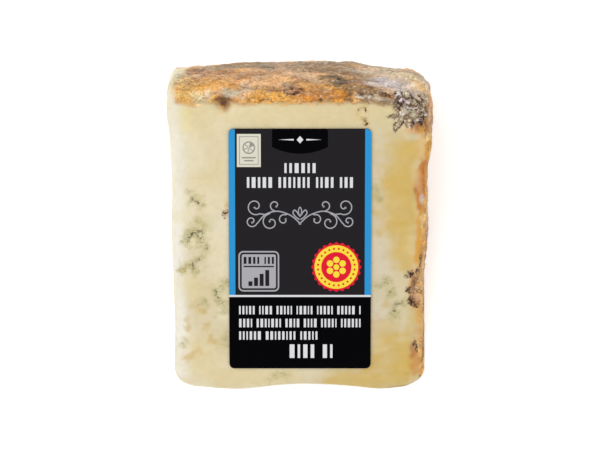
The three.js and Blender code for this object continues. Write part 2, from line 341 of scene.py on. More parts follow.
# Dark clefts in the rind, placed across it and down from the line where it begins.
CLEFTS = (
    (0.3, (-23.2, 0.4), (-22.6, 1.2)), (0.5, (-33.4, 25), (-30, 24)),
    (0.15, (-5.4, 7.2), (-4.2, 5), (-2.1, 4.3), (0.4, 5.6)), (0.1, (-3, 8), (-2.3, 8.4)),
    (0.4, (7.4, 19), (11.2, 16.6), (13.6, 15.6)), (0.45, (11.4, 11.9), (14, 10.8)),
    (0, (-18.6, 15.4), (-15, 17.8)), (0.1, (18.2, 5.6), (19.6, 4.6), (22.4, 5)),
    (0.2, (24.2, 5.4), (26.2, 4.4), (27.2, 3.6)), (0.1, (20, 8.4), (22, 9.4)),
    (0.1, (38.2, -4.4), (38.8, -5.6), (39.6, -6.2)), (0.4, (6, 2.2), (6.3, 1.9)),
    (0.4, (14.4, 2.1), (14.7, 1.8)),
)

# Where the rind is smooth and pale under the film, placed as the clefts are.
CALM = (
    (1.5, (-23.4, 0.4), (-22.2, 2.6)), (3, (-36, 4), (-27, 2.5)), (6, (23, 22), (35, 14)),
    (2.5, (38.5, -2), (38.5, -52)), (1.5, (38.5, -70), (38.5, -90)), (2.5, (-37, 45), (0, 47), (38, 44)),
)

# Broad changes of colour: from one place to another, how far they reach, their colour and their strength.
FACE_DABS = (
    # The two pale bands along the left edge, next, are partly the paste's pale edge and partly painted sheen of
    # the film.
    (-37.8, 102, -37.8, 66, 2.8, EDGE_PALE, 0.5), (-37.8, 60, -36.6, 11, 2.8, EDGE_PALE, 0.7),
    (-34.4, 97, -34.2, 93, 2.4, STRAW, 0.5), (-31, 97, -30, 91, 3.5, LIGHT_YELLOW, 0.3),
    (-33, 41, -30, 34, 4.5, LIGHT_YELLOW, 0.6), (-31.5, 59, -29, 61, 2.5, VEIN_HALO, 0.35),
    (-29, 48, -23, 44, 4, PALE, 0.7), (-28, 24, -24, 22, 5, LIGHT_YELLOW, 0.4),
    (-30, 32, -25, 23, 5, PALE_GREY, 0.5), (-31, 50, -26, 38, 4.5, PALE_GREY, 0.35),
    (24, 80, 24, 24, 2.2, LAVENDER, 0.25), (-24, 9, -4, 9, 4, LIGHT_YELLOW, 0.55),
    (-32, 16, -24, 11, 5, LIGHT_YELLOW, 0.5), (-14, 96, 28, 96, 5, LIGHT_YELLOW, 0.6),
    (31.2, 86, 30.4, 76, 4.8, YELLOW, 0.75), (29.8, 72, 29.6, 62, 6, YELLOW, 0.8),
    (32, 60, 31.6, 50, 4.2, YELLOW, 0.7), (33.4, 86, 33, 47, 2.8, YELLOW, 0.65),
    (34.8, 80, 34.8, 76, 1.8, CREAM, 0.4), (34, 58, 33.8, 50, 2.2, CREAM, 0.2),
    (22.5, 40, 27, 36, 4, PALE_GREY, 0.5), (35.4, 32, 34.2, 22, 2.6, YELLOW, 0.6),
    (27, 22, 33, 16, 6, YELLOW, 0.85), (22, 14, 32, 13, 4.5, YELLOW, 0.8), (12, 8, 30, 8, 5, YELLOW, 0.8),
)
# The same along the labelled face's right side.
END_DABS = (
    (39.5, 12, 39.5, 92, 3.6, LIGHT_TAN, 0.8), (34.8, 93.8, 39.5, 91, 3, TAN, 0.9),
    (35.8, 94.4, 39.6, 91.2, 1.9, BROWN, 0.9), (36.6, 92, 38.4, 91, 1.2, AMBER, 0.5),
    (39.5, 88.5, 39, 86, 2.2, LIGHT_YELLOW, 0.4), (39.8, 85.5, 38.4, 80, 1.9, AMBER, 0.9),
    (38.3, 80, 37.2, 71, 2.8, BURNT, 0.95), (35.2, 76, 35.8, 72, 1.8, TAN, 0.6),
    (34.6, 72.2, 36.4, 66, 0.9, BURNT, 0.7), (34.2, 71.8, 34.6, 71, 0.7, BROWN, 0.8),
    (37, 69, 37.6, 68, 1, LAVENDER, 0.65), (36.6, 66, 37.8, 65, 1.3, BURNT, 0.8),
    (37.8, 64, 37.1, 47, 1.5, AMBER, 0.9), (34.6, 55, 34.4, 51, 1.2, LIGHT_YELLOW, 0.4),
    (38.4, 62.5, 38.8, 59, 1.2, CREAM, 0.45), (39, 54, 38.6, 47, 1, BROWN, 0.4),
    (35.8, 43, 35.6, 33, 2.4, TAN, 0.8), (35.8, 42, 35.6, 33, 1.5, BROWN, 0.6),
    (35.6, 38.6, 36.4, 35.4, 0.9, PINK, 0.7), (36.4, 32, 36.6, 27, 1.2, AMBER, 0.4),
    (36.2, 24, 35.6, 17, 1.8, TAN, 0.8), (34.8, 20, 35.4, 17, 1.3, BROWN, 0.6),
    (35.9, 20.4, 36.3, 19.6, 0.7, EDGE_PALE, 0.6), (36.4, 16, 35.4, 11, 2.2, BURNT, 0.5),
)
# The same for the rind's outer side, across it and down from the line where it begins.
RIND_DABS = (
    (-35.5, 4, -30, 5.5, 4.5, GOLD, 0.75), (-30, 10, -22, 13, 5, ORANGE, 0.8),
    (-29.2, 2.6, -28.6, 3.6, 1.7, WHITE_BLOOM_AND_GLINT, 0.6), (-34, 19, -33, 22, 1.8, WHITE_BLOOM_AND_GLINT, 0.8),
    (-33, 27, -14, 31, 4, BROWN, 0.65), (-27, 20, -8, 21, 5, TAN, 0.5), (-16, 12, -4, 16, 5, PINK, 0.7),
    (-22.5, 4, -20, 4.5, 1.6, SAGE, 0.8), (-16, 7, -10, 6, 2.6, GREY, 0.6),
    (-19.3, 14.5, -15.4, 19, 1.2, BURNT, 0.8), (-12, 3, 14, 3.5, 3.2, ORANGE, 0.85),
    (2, 9, 12, 6, 3.6, ORANGE, 0.75), (0, 4, 14, 4.5, 3, BURNT, 0.6), (4, 8, 10, 4, 2.4, BROWN, 0.5),
    (-5, 7.4, 1, 6.6, 2, BROWN, 0.5), (0, 8, 6, 7, 2, BROWN, 0.4), (0.5, 19, 3, 17, 2.2, PEACH, 0.5),
    (-17, 11, -15, 9, 2.2, PEACH, 0.6), (-34.5, 19, -34.5, 8, 3, LIGHT_TAN, 0.7),
    (-26, 38, 20, 41, 8, OLIVE, 0.85), (-2, 31, 14, 27, 4.5, OLIVE, 0.75),
    (0, 37, 15, 34, 3.5, UMBER, 0.45), (0, 25, 9, 22, 3.4, UMBER, 0.85),
    (9.5, 17, 13.5, 12, 4.2, OLIVE, 0.9), (-9, 13, -3, 14, 3, ORANGE, 0.55),
    (15, 30, 19, 19, 3.4, UMBER, 0.85), (20, 30, 21, 17, 2.4, GREY, 0.6),
    # The lavender, white and cream patches on the next two lines are partly the rind's bloom and partly painted
    # sheen of the film.
    (24, 14, 35, 8, 5, LAVENDER, 0.85), (21, 30, 36, 22, 6, WHITE_BLOOM_AND_GLINT, 0.5),
    (22, 29, 35, 25, 3, CREAM, 0.4), (24, 17, 34, 16, 4, LAVENDER, 0.8), (16.5, 8, 24, 5.4, 3, UMBER, 0.85),
    (19, 3, 28, 1.6, 2.2, UMBER, 0.85), (22.4, 3.4, 27.6, 2.2, 1.9, GREY, 0.75),
    (16.6, 13, 20, 17, 2.8, UMBER, 0.7), (24.5, 9.5, 28, 6, 2.2, PEACH, 0.5),
    # The small white dabs on this line and the next are painted glints.
    (10, 15.5, 14, 12.5, 2.2, DARK, 0.3), (17.4, 3.4, 19, 3.6, 0.8, WHITE_BLOOM_AND_GLINT, 0.7),
    (20.6, 4.4, 21.4, 4.4, 0.6, WHITE_BLOOM_AND_GLINT, 0.7), (23.4, 3.4, 24.2, 3.2, 0.5, WHITE_BLOOM_AND_GLINT, 0.7),
    (24, 40, 40, 34, 6, GREY, 0.8), (-37, 46, 38, 46, 2.6, GREY, 0.5), (24, 34, 38, 28, 3, CREAM, 0.4),
    (36.5, 14, 39.5, 1, 3.4, PEACH, 0.75), (35.5, 12, 38, 5, 3, GREY, 0.65),
    (38.5, 30, 39, 18, 2.6, CREAM, 0.6), (36.6, 23.5, 40, 18.5, 1.7, AMBER, 0.7),
    (36.4, 24, 37, 23, 0.8, BROWN, 0.8),
)


def axis_offset():
    """From the wheel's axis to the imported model's origin, in millimetres, found from the label's box."""
    low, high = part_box("label")
    packed_middle = np.array((low + high) / 2) / METRES
    middle = ALONG_FRONT * LABEL_MIDDLE + OUT_OF_FRONT * (LABEL_GAP + LABEL_THICKNESS / 2)
    return middle - packed_middle


AXIS_OFFSET = axis_offset()


def to_frame(points):
    """Millimetres from the wheel's axis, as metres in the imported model's frame."""
    return (np.asarray(points, float) - AXIS_OFFSET) * METRES


def on_front(across, along, above=0.0):
    """A place on the labelled face, in millimetres from the wheel's axis."""
    return np.array([across, 0, 0]) + ALONG_FRONT * along + OUT_OF_FRONT * above


def on_rind(across, down):
    """A place on the rind, across it and down from the line where it meets the labelled face."""
    if down < LIP:
        return on_front(across, RIND_LINE + down)
    turn = WEDGE_ANGLE - (down - LIP) / WHEEL_RADIUS
    return np.array([across, WHEEL_RADIUS * math.cos(turn), WHEEL_RADIUS * math.sin(turn)])


def smoothstep(value, low, high):
    share = np.clip((value - low) / (high - low), 0, 1)
    return share * share * (3 - 2 * share)


def lattice_value(cell):
    """A repeatable value from -1 to 1 at each point of a whole-number lattice, the solid's own."""
    i, j, k = (cell[:, axis].astype(np.int64).astype(np.uint32) for axis in range(3))
    with np.errstate(over="ignore"):
        mixed = (i * np.uint32(374761393)) ^ (j * np.uint32(668265263)) ^ (k * np.uint32(1440662683))
        mixed = (mixed ^ (mixed >> np.uint32(13))) * np.uint32(1274126177)
    mixed ^= mixed >> np.uint32(16)
    return mixed / 2147483647.5 - 1


def noise(points, grain, stretch=1.0, layer=0):
    """Smooth noise from -1 to 1, with bumps about one grain across, the solid's own in layer 0."""
    cell = points / (np.array([stretch, 1, 1]) * grain) + layer * LAYER_SHIFT
    corner = np.floor(cell)
    ease = smoothstep(cell - corner, 0, 1)
    total = np.zeros(len(points))
    for step in np.ndindex(2, 2, 2):
        share = np.prod(np.where(np.array(step) == 1, ease, 1 - ease), axis=1)
        total += share * lattice_value(corner + step)
    return total


def noises(points, kinds):
    """The sum of several noises, each given as its height, grain, stretch and layer."""
    return sum(height * noise(points, *kind) for height, *kind in kinds)


def lumps(points, grain, stretch, layer):
    """Rounded lumps about one grain across: each point's lump's middle, and how far it is from the gaps."""
    size = grain * np.array([stretch, 1, 1])
    cell = points / size + layer * LAYER_SHIFT
    corner = np.floor(cell)
    nearest = np.full(len(points), FAR)
    second = nearest.copy()
    middle = points.copy()
    scatter = 0.45
    for step in np.ndindex(3, 3, 3):
        home = corner + np.array(step) - 1
        moves = [lattice_value(home + 100 * axis) for axis in (1, 2, 3)]
        centre = home + 0.5 + scatter * np.stack(moves, axis=1)
        away = np.linalg.norm(cell - centre, axis=1)
        second = np.minimum(second, np.maximum(away, nearest))
        middle = np.where((away < nearest)[:, None], (centre - layer * LAYER_SHIFT) * size, middle)
        nearest = np.minimum(nearest, away)
    return middle, second - nearest


def radial_share(points):
    return np.clip(np.hypot(points[:, 1], points[:, 2]) / WHEEL_RADIUS, 0, 1)


def blend(ends, share):
    """The first end at a share of 0, and the second at 1."""
    return ends[0] + (ends[1] - ends[0]) * share


def flare(share, spread):
    """How much wider an end is at a share of the wheel's radius."""
    start, end, width = spread
    return width * smoothstep(share, start, end)


def faces(points):
    """How far each point is outside each of the six faces, and how far in the rounding reaches."""
    radial = np.hypot(points[:, 1], points[:, 2])
    share = radial_share(points)
    on_left = points[:, 0] < 0
    side = HALF_WIDTH + np.where(on_left, flare(share, LEFT_FLARE), flare(share, RIGHT_FLARE))
    bow = np.where(on_left, RIND_BOW_LEFT, RIND_BOW_RIGHT)
    sag = sum(depth * np.exp(-(((points[:, 0] - across) / reach) ** 2)) for across, reach, depth in TIP_SAGS)
    rind_radius = WHEEL_RADIUS - bow * (points[:, 0] / HALF_WIDTH) ** 2
    return {
        "back": (-points[:, 2], np.minimum(BACK_ROUNDING, BACK_ROUNDING_SHARE * radial)),
        "front": (points @ OUT_OF_FRONT, np.minimum(FRONT_ROUNDING, FRONT_ROUNDING_SHARE * radial)),
        "rind": (radial - rind_radius, RIND_ROUNDING),
        "tip": (TIP_CUT - sag - points @ ALONG_MIDDLE, TIP_ROUNDING),
        "left": (-points[:, 0] - side, blend(LEFT_ROUNDING, share)),
        "right": (points[:, 0] - side, blend(RIGHT_ROUNDING, share)),
    }


def rounded_form(points):
    """Zero on the rounded wedge, positive outside it and negative inside."""
    terms = [np.maximum(outside / rounding + 1, 0) for outside, rounding in faces(points).values()]
    return np.sqrt(sum(term**2 for term in terms)) - 1


def gradient(points):
    """The slope of the rounded form at each point."""
    step = 0.01
    sides = []
    for axis in range(3):
        move = np.zeros(3)
        move[axis] = step
        sides.append((rounded_form(points + move) - rounded_form(points - move)) / (2 * step))
    return np.stack(sides, axis=1)


def onto_rounded_form(points):
    """The points moved to the rounded form, apart from any so deep inside that it gives no direction."""
    for _ in range(ROUNDING_STEPS):
        slope = gradient(points)
        steepness = np.maximum((slope**2).sum(1), TINY)
        points = points - slope * (rounded_form(points) / steepness)[:, None]
    return points


def face_share(points):
    """1 on the labelled face, and 0 deeper than its colours reach."""
    return smoothstep(points @ OUT_OF_FRONT, *FACE_EDGE)


def rind_share(points):
    """1 on the curved rind and the flat end, falling to 0 a little way onto the cut faces."""
    outside = faces(points)
    return np.maximum(*(smoothstep(outside[side][0], -RIND_FADE, -1) for side in ("rind", "right")))


def label_share(points):
    """1 under the label and a little round it, and 0 from where the relief is whole."""
    beside = np.abs(points[:, 0]) - LABEL_WIDTH / 2
    beyond = np.abs(points @ ALONG_FRONT - LABEL_MIDDLE) - LABEL_HEIGHT / 2
    below = -points @ OUT_OF_FRONT
    return 1 - smoothstep(np.maximum(np.maximum(beside, beyond), below), LABEL_MARGIN / 2, LABEL_EASE)


def patch_share(points, patch):
    """1 at the centre of a patch of the labelled face, and 0 at its edge."""
    away = np.linalg.norm(points - on_front(patch["across"], patch["along"]), axis=1)
    return 1 - smoothstep(away, patch["reach"] * PATCH_CORE, patch["reach"])


def resting_share(outward):
    """1 where the surface faces down, as the base does, and 0 where it faces sideways or up."""
    return smoothstep(-outward[:, 2], *RESTING)


def free_share(points, outward):
    """0 on the base and under the label, where there is no relief."""
    return (1 - resting_share(outward)) * (1 - label_share(points))


def stance_lift(points):
    """How far the base rises between the corners that the wedge lies on."""
    across, along = (
        np.abs((2 * points[:, axis] - low - high) / (high - low))
        for axis, (low, high) in enumerate((STANCE["across"], STANCE["along"]))
    )
    beside = across - 1 + STANCE["bow"] * (1 - along**2)
    beyond = along - 1 + STANCE["bow"] * (1 - across**2)
    return STANCE["lift"] * (np.maximum(beside, 0) + np.maximum(beyond, 0))


def solid_relief(points, outward, mould):
    """How far the solid stands out from the rounded form, smoother than it is where the face is clean."""
    mould = patch_share(points, MOULD_CORNER) * np.maximum(mould, MOULD_FLAT)
    calm = 1 - END_CALM * smoothstep(faces(points)["right"][0], -RIND_FADE, -1)
    rough = rind_share(points) * (noises(points, [CRAGS]) + calm * noises(points, [GRIT]))
    rough = np.where(rough > 0, PRESSED, 1) * rough
    wrinkles = np.abs(noise(points, MOULD_CORNER["grain"])) - MOULD_CORNER["sunk"]
    dent = RIND_DENT["depth"] * patch_share(points, RIND_DENT)
    relief = noises(points, WAVES) + rough + mould * MOULD_CORNER["height"] * wrinkles - dent
    return free_share(points, outward) * relief


def set_down(points, outward, height, lowest):
    """The surface at a height over the rounded form, flat below, its thin edge's foot following the waves."""
    resting = resting_share(outward)
    foot = resting * (1 - smoothstep(points @ ALONG_MIDDLE, TIP_CUT, TIP_CUT + TIP_FOOT))
    surface = points + outward * height[:, None]
    surface[:, 1] -= foot * noises(points, WAVES)
    surface[:, 2] = np.maximum(surface[:, 2], lowest) + resting * stance_lift(points)
    return surface


def skin_grid(cells):
    """The points on the skin of a box of that many cells, from -1 to 1, and the quads that join them."""
    skin = np.ones([count + 1 for count in cells], bool)
    skin[1:-1, 1:-1, 1:-1] = False
    number = np.full(skin.shape, -1)
    number[skin] = np.arange(skin.sum())
    quads = []
    for axis in range(3):
        for end in (0, -1):
            sheet = np.take(number, end, axis)
            corners = (sheet[:-1, :-1], sheet[1:, :-1], sheet[1:, 1:], sheet[:-1, 1:])
            sheet_quads = np.stack(corners, -1).reshape(-1, 4)
            faces_in = (end == 0) != (axis == 1)
            quads.append(sheet_quads[:, ::-1] if faces_in else sheet_quads)
    return np.argwhere(skin) / np.array(cells) * 2 - 1, np.concatenate(quads)


def wedge_skin():
    """Points on the rounded wedge, the direction out of it at each, and the quads between them."""
    grid, quads = skin_grid(CELLS)
    grid = grid + np.array(CROWDING) * np.sin(math.pi * grid)
    radial = blend((TIP_CUT, WHEEL_RADIUS), (1 + grid[:, 1]) / 2)
    turn = WEDGE_ANGLE * (1 + grid[:, 2]) / 2
    across = grid[:, 0] * HALF_WIDTH
    points = onto_rounded_form(np.stack([across, radial * np.cos(turn), radial * np.sin(turn)], axis=1))
    outward = gradient(points)
    return points, outward / np.linalg.norm(outward, axis=1)[:, None], quads


def to_stroke(points, start, end):
    """The distance from each point to a straight stroke."""
    line = end - start
    share = np.clip((points - start) @ line / max(line @ line, TINY), 0, 1)
    return np.linalg.norm(points - start - share[:, None] * line, axis=1)


def to_marks(points, marks, place):
    """The distance from each point to the edge of the nearest mark, negative inside it."""
    nearest = np.full(len(points), FAR)
    for edge, *path in marks:
        stops = onto_rounded_form(np.array([place(*stop) for stop in path]))
        for start, end in zip(stops[:-1], stops[1:]):
            nearest = np.minimum(nearest, to_stroke(points, start, end) - edge)
    return nearest


def colour_value(colour):
    """A colour as it looks in the picture, as the share of light that the surface reflects."""
    channels = np.array(colour) / 255
    linear = np.where(channels <= 0.04045, channels / 12.92, ((channels + 0.055) / 1.055) ** 2.4)
    return linear / LIGHT_LEVEL


def lay_on(paint, colour, share):
    """The paint with a share of a plain colour over it."""
    return paint + (colour_value(colour) - paint) * np.clip(share, 0, 1)[:, None]


def lay_dabs(paint, points, dabs, place, share, ragged, soft=(0.35, 1.3)):
    """Lays dabs over the paint, each fading out between those shares of its reach, with ragged edges."""
    edge = ragged * noises(points, DAB_EDGE)
    for *ends, reach, colour, strength in dabs:
        stops = onto_rounded_form(np.array([place(*ends[:2]), place(*ends[2:])]))
        away = to_stroke(points, stops[0], stops[1]) / reach + edge
        paint = lay_on(paint, colour, share * strength * (1 - smoothstep(away, *soft)))
    return paint


def depth_in_paste(points):
    """How far in from the rind's inner edge each point is, and negative in the rind."""
    curved = -faces(points)["rind"][0] - np.interp(points[:, 0], *zip(*CURVED_RIND_DEPTHS))
    end = np.interp(points @ ALONG_FRONT, *zip(*END_RIND_EDGE)) - points[:, 0]
    end = np.minimum(end, -faces(points)["right"][0] - END_RIND_DEPTH)
    down = WHEEL_RADIUS * (WEDGE_ANGLE - np.arctan2(points[:, 2], points[:, 1]))
    ended = smoothstep(down, *LEFT_BARE["ends"])
    edge = LEFT_BARE["across"] + blend((LEFT_BARE["slant"] * down, -LEFT_BARE["back"]), ended)
    bare = edge - points[:, 0] + noises(points, LEFT_BARE_WANDER)
    depth = np.minimum(np.maximum(np.minimum(curved, end), bare), to_marks(points, [HOLE], on_rind))
    return depth + noises(points, RIND_WANDER)


def warp(points, moves):
    """The points moved about a little by noise, so that what is placed by them has uneven edges."""
    for amount, grain, layer in moves:
        shifts = [noise(points, grain, layer=layer + axis) for axis in range(3)]
        points = points + amount * np.stack(shifts, axis=1)
    return points


def paste_paint(points, depth):
    """The cut paste's colour: riper in places and next to the rind, and greyer to the right."""
    paint = np.tile(colour_value(PALE), (len(points), 1))
    paint = lay_on(paint, LIGHT_YELLOW, RIPENESS + noises(points, RIPENESS_VARIES))
    paint = lay_on(paint, PALE_GREY, GREYER["strength"] * smoothstep(points[:, 0], *GREYER["across"]))
    by_rind = np.exp(-np.maximum(depth, 0) / RIPE_BY_RIND["depth"])
    return lay_on(paint, LIGHT_YELLOW, RIPE_BY_RIND["strength"] * by_rind)


def rind_paint(points, depth):
    """The rind's colour: mottled, and orange along its inner edge on the labelled face."""
    paint = np.tile(colour_value(TAN), (len(points), 1))
    for colour, strength, low, high, *kind in RIND_PATCHES:
        paint = lay_on(paint, colour, strength * smoothstep(noise(points, *kind), low, high))
    lip = 1 - smoothstep(-depth, *RIND_LIP["depths"])
    lip = lip * blend((RIND_LIP["elsewhere"], 1), face_share(points))
    return lay_on(paint, ORANGE, lip * (RIND_LIP["strength"] + noises(points, RIND_LIP_VARIES)))


def mould_lumps(points):
    """1 in the corner's grey mould and 0 outside it, how far from its gaps, and a value for each lump."""
    middle, gap = lumps(points, *(MOULD_LUMPS[trait] for trait in ("grain", "stretch", "layer")))
    inside = -to_marks(onto_rounded_form(middle), MOULD, on_rind)
    own_values = lattice_value(np.round(middle * 7))
    return smoothstep(inside, -MOULD_EDGE, MOULD_EDGE), gap, own_values


def cheese_paint(points, depth):
    """The colours of the paste and of the rind at each point, before veins, hollows and the finest grain."""
    warped = warp(points, DAB_WARP)
    on_face = face_share(points)
    paste = lay_dabs(paste_paint(points, depth), warped, FACE_DABS, on_front, on_face, 0.3, (0.1, 1.7))
    paste = lay_dabs(paste, warped, END_DABS, on_front, on_face, 0.4)
    crust = lay_dabs(rind_paint(points, depth), warped, END_DABS, on_front, on_face, 0.4)
    crust = lay_dabs(crust, warped, RIND_DABS, on_rind, 1, 0.55)
    return [lay_dabs(paint, points, HOLE_DABS, on_rind, 1, 0.3) for paint in (paste, crust)]


def hidden_veins(points):
    """About how far each point is from a vein on the faces that carry no placed marks."""
    course = HIDDEN_VEINS["course"] * np.abs(noises(points, VEIN_COURSE))
    breaks = np.maximum(noises(points, VEIN_BREAKS) + HIDDEN_VEINS["broken"], 0)
    return course + HIDDEN_VEINS["breaks"] * breaks - HIDDEN_VEINS["half_width"]


def fine_relief(points, rind, mould, gap, vein, cleft):
    """Relief that is too fine for the solid."""
    course = np.abs(noise(points, RIND_CREASES["grain"], RIND_CREASES["stretch"], layer=30))
    creases = -RIND_CREASES["height"] * np.maximum(1 - course / RIND_CREASES["width"], 0)
    grain = np.abs(noise(points, RIND_GRAIN["grain"], layer=31)) - RIND_GRAIN["sunk"]
    knobs = smoothstep(gap, 0, MOULD_LUMPS["gap"]) - MOULD_LUMPS["sunk"]
    crust = (1 - mould) * (creases + RIND_GRAIN["height"] * grain)
    crumb = noises(points, [CUT_CRUMB]) - VEIN_DEPTH * smoothstep(-vein, -0.5, 0.3)
    pits = PIT_DEPTH * smoothstep(-cleft, -0.8, 0.5)
    return rind * crust + mould * MOULD_LUMPS["height"] * knobs + (1 - rind) * crumb - pits


def drawn_tight(height, quads):
    """The height of a film that bridges the hollows in a surface."""
    edges = np.concatenate([quads[:, [side, (side + 1) % 4]] for side in range(4)])
    degree = np.bincount(edges[:, 0], minlength=len(height))
    film = height.copy()
    for _ in range(FILM_REACH):
        total = np.bincount(edges[:, 0], weights=film[edges[:, 1]], minlength=len(height))
        film = np.maximum(height, total / degree)
    return film


def new_object(name, data):
    made = bpy.data.objects.new(name, data)
    bpy.context.scene.collection.objects.link(made)
    return made


def mesh_object(name, points, polygons):
    """A smooth-shaded mesh of points in millimetres from the wheel's axis."""
    mesh = bpy.data.meshes.new(name)
    mesh.from_pydata(to_frame(points).tolist(), [], [list(map(int, polygon)) for polygon in polygons])
    mesh.shade_smooth()
    mesh.update()
    piece = new_object(name, mesh)
    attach(piece, "root")
    return piece


def store(mesh, name, values):
    """Keeps a number or a colour at each point of a mesh, for its material."""
    if values.ndim == 1:
        mesh.attributes.new(name, "FLOAT", "POINT").data.foreach_set("value", values.astype(np.float32))
        return
    opaque = np.concatenate([values, np.ones((len(values), 1))], axis=1).astype(np.float32)
    mesh.attributes.new(name, "FLOAT_COLOR", "POINT").data.foreach_set("color", opaque.ravel())


class Recipe:
    """A node material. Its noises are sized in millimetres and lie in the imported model's frame."""

    def __init__(self, name):
        self.material = bpy.data.materials.new(name)
        self.material.use_nodes = True
        self.tree = self.material.node_tree
        self.shader = self.tree.nodes["Principled BSDF"]
        self.output = self.tree.nodes["Material Output"]
        self.place = self.node("ShaderNodeTexCoord").outputs["Object"]

    def feed(self, socket, value):
        if isinstance(value, bpy.types.NodeSocket):
            self.tree.links.new(value, socket)
        else:
            socket.default_value = value

    def feed_named(self, inputs, values):
        for name, value in values.items():
            self.feed(inputs[name.replace("_", " ")], value)

    def surface(self, **values):
        self.feed_named(self.shader.inputs, values)

    def node(self, kind, settings=(), **values):
        made = self.tree.nodes.new(kind)
        for name, value in dict(settings).items():
            setattr(made, name, value)
        self.feed_named(made.inputs, values)
        return made

    def math(self, operation, *values, kind="ShaderNodeMath"):
        made = self.node(kind, {"operation": operation})
        for socket, value in zip(made.inputs, values):
            self.feed(socket, value)
        return made.outputs[0]

    def times(self, first, second):
        return self.math("MULTIPLY", first, second)

    def plus(self, value, extra, weight):
        """The value, and the extra one times its weight."""
        return self.math("MULTIPLY_ADD", extra, weight, value)

    def attribute(self, name, output="Fac"):
        return self.node("ShaderNodeAttribute", {"attribute_name": name}).outputs[output]

    def ragged(self, name, noise, weight):
        """A number kept at each point of the mesh, with noise that makes its edges uneven."""
        return self.plus(self.attribute(name), noise, weight)

    def shaded(self, colour, factor):
        made = self.node("ShaderNodeVectorMath", {"operation": "SCALE"}, Scale=factor)
        self.feed(made.inputs[0], colour)
        return made.outputs[0]

    def mix(self, share, first, second):
        made = self.node("ShaderNodeMix", {"data_type": "RGBA"})
        for index, value in zip((0, 6, 7), (share, first, second)):
            self.feed(made.inputs[index], value)
        return made.outputs[2]

    def lay(self, colour, share, over):
        """The colour with a share of a plain one over it."""
        return self.mix(share, colour, flat(over))

    def lay_all(self, colour, layers, noises, patterns):
        for mark, noise, weight, *fade, over, pattern in layers:
            share = self.between(self.ragged(mark, noises[noise], weight), *fade)
            if pattern:
                share = self.times(patterns[pattern], share)
            colour = self.lay(colour, share, over)
        return colour

    def noise(self, grain, detail=2.0, stretch=(1, 1, 1), roughness=0.5, distortion=0.0):
        scale = [1 / (grain * METRES * size) for size in stretch]
        place = self.math("MULTIPLY", self.place, scale, kind="ShaderNodeVectorMath")
        settings = {"Detail": detail, "Roughness": roughness, "Distortion": distortion}
        return self.node("ShaderNodeTexNoise", Vector=place, Scale=1.0, **settings).outputs["Fac"]

    def swing(self, *settings, **more):
        """Noise that varies about zero."""
        return self.math("SUBTRACT", self.noise(*settings, **more), 0.5)

    def ridge(self, grain, stretch=(1, 1, 1), distortion=0.0):
        """Zero along winding lines, and up to a half between them."""
        return self.math("ABSOLUTE", self.swing(grain, 3, stretch, distortion=distortion))

    def between(self, value, low, high, end=1.0, start=0.0):
        """Goes from the start to the end as the value goes from low to high."""
        limits = {"From_Min": low, "From_Max": high, "To_Min": start, "To_Max": end}
        made = self.node("ShaderNodeMapRange", {"interpolation_type": "SMOOTHSTEP"}, Value=value, **limits)
        return made.outputs[0]

    def bump(self, height, depth):
        """Bump of a depth in millimetres."""
        return self.node("ShaderNodeBump", Height=height, Strength=1.0, Distance=depth * METRES).outputs[0]


def flat(colour):
    """A plain colour for a material's input."""
    return (*colour_value(colour), 1.0)


def cheese_material():
    """Paste, rind and mould, with uneven edges between them."""
    recipe = Recipe("cheese")
    noises = {"fine": recipe.swing(0.7, 4, roughness=0.65), "coarse": recipe.swing(2.2, 4, roughness=0.6)}
    fine, coarse = noises.values()
    rind = recipe.between(recipe.plus(recipe.ragged("rind", fine, 3.5), coarse, 3.0), -1.2, 0.8)
    mould = recipe.between(recipe.ragged("mould", fine, 0.9), 0.3, 0.6)
    colour = recipe.mix(rind, paste_colour(recipe, noises), crust_colour(recipe, noises))
    relief = recipe.times(recipe.noise(0.8, 5, roughness=0.7), recipe.plus(0.02, rind, 0.98))
    recipe.surface(
        Base_Color=recipe.mix(mould, colour, mould_colour(recipe, fine, coarse)),
        Roughness=recipe.between(rind, 0.0, 1.0, 0.8, 0.5),
        Specular_IOR_Level=0.15,
        Normal=recipe.bump(relief, 0.5),
    )
    return recipe.material


def paste_colour(recipe, noises):
    """The cut paste, with its veins, stains and small dark hollows."""
    shade = recipe.plus(0.99, recipe.math("ADD", *noises.values()), 0.2)
    colour = recipe.shaded(recipe.attribute("paste", "Color"), shade)
    threads = recipe.between(recipe.ridge(1.5, distortion=1.5), 0.03, 0.0)
    specks = recipe.between(recipe.noise(0.8, 3), 0.53, 0.48)
    return recipe.lay_all(colour, PASTE_LAYERS, noises, {"threads": threads, "specks": specks})


def crust_colour(recipe, noises):
    """The rind: pale and orange grains, painted glints, dark cracks and clefts, painted shade in hollows."""
    fine, coarse = noises.values()
    shade = recipe.plus(1.12, recipe.swing(3.4, 3, (2.2, 1, 1.8)), 1.3)
    shade = recipe.plus(recipe.plus(shade, coarse, 1.2), fine, 2.6)
    colour = recipe.shaded(recipe.attribute("crust", "Color"), shade)
    lively = recipe.plus(1.0, recipe.attribute("calm"), -0.75)
    # Grains and specks, with painted glints among them.
    for tint, grain, *fade in RIND_SPOTS:
        spots = recipe.between(recipe.noise(grain, 4, (1.6, 1, 1.4), roughness=0.65), *fade)
        colour = recipe.lay(colour, recipe.times(spots, lively), tint)
    broken = recipe.times(recipe.between(coarse, -0.06, 0.1, 0.7), lively)
    cracks = recipe.between(recipe.ridge(2.4, (1.8, 1, 1), 0.8), 0.035, 0.0)
    colour = recipe.lay(colour, recipe.times(cracks, broken), CRACK_DARK_AND_SHADE)
    streaks = recipe.between(recipe.noise(0.7, 3, (2.4, 1, 1)), 0.54, 0.47)
    colour = recipe.lay_all(colour, CLEFT_LAYERS, noises, {"streaks": streaks})
    # Painted shade where the film bridges a hollow.
    return recipe.lay(colour, recipe.times(recipe.attribute("hollow"), 0.35), CRACK_DARK_AND_SHADE)


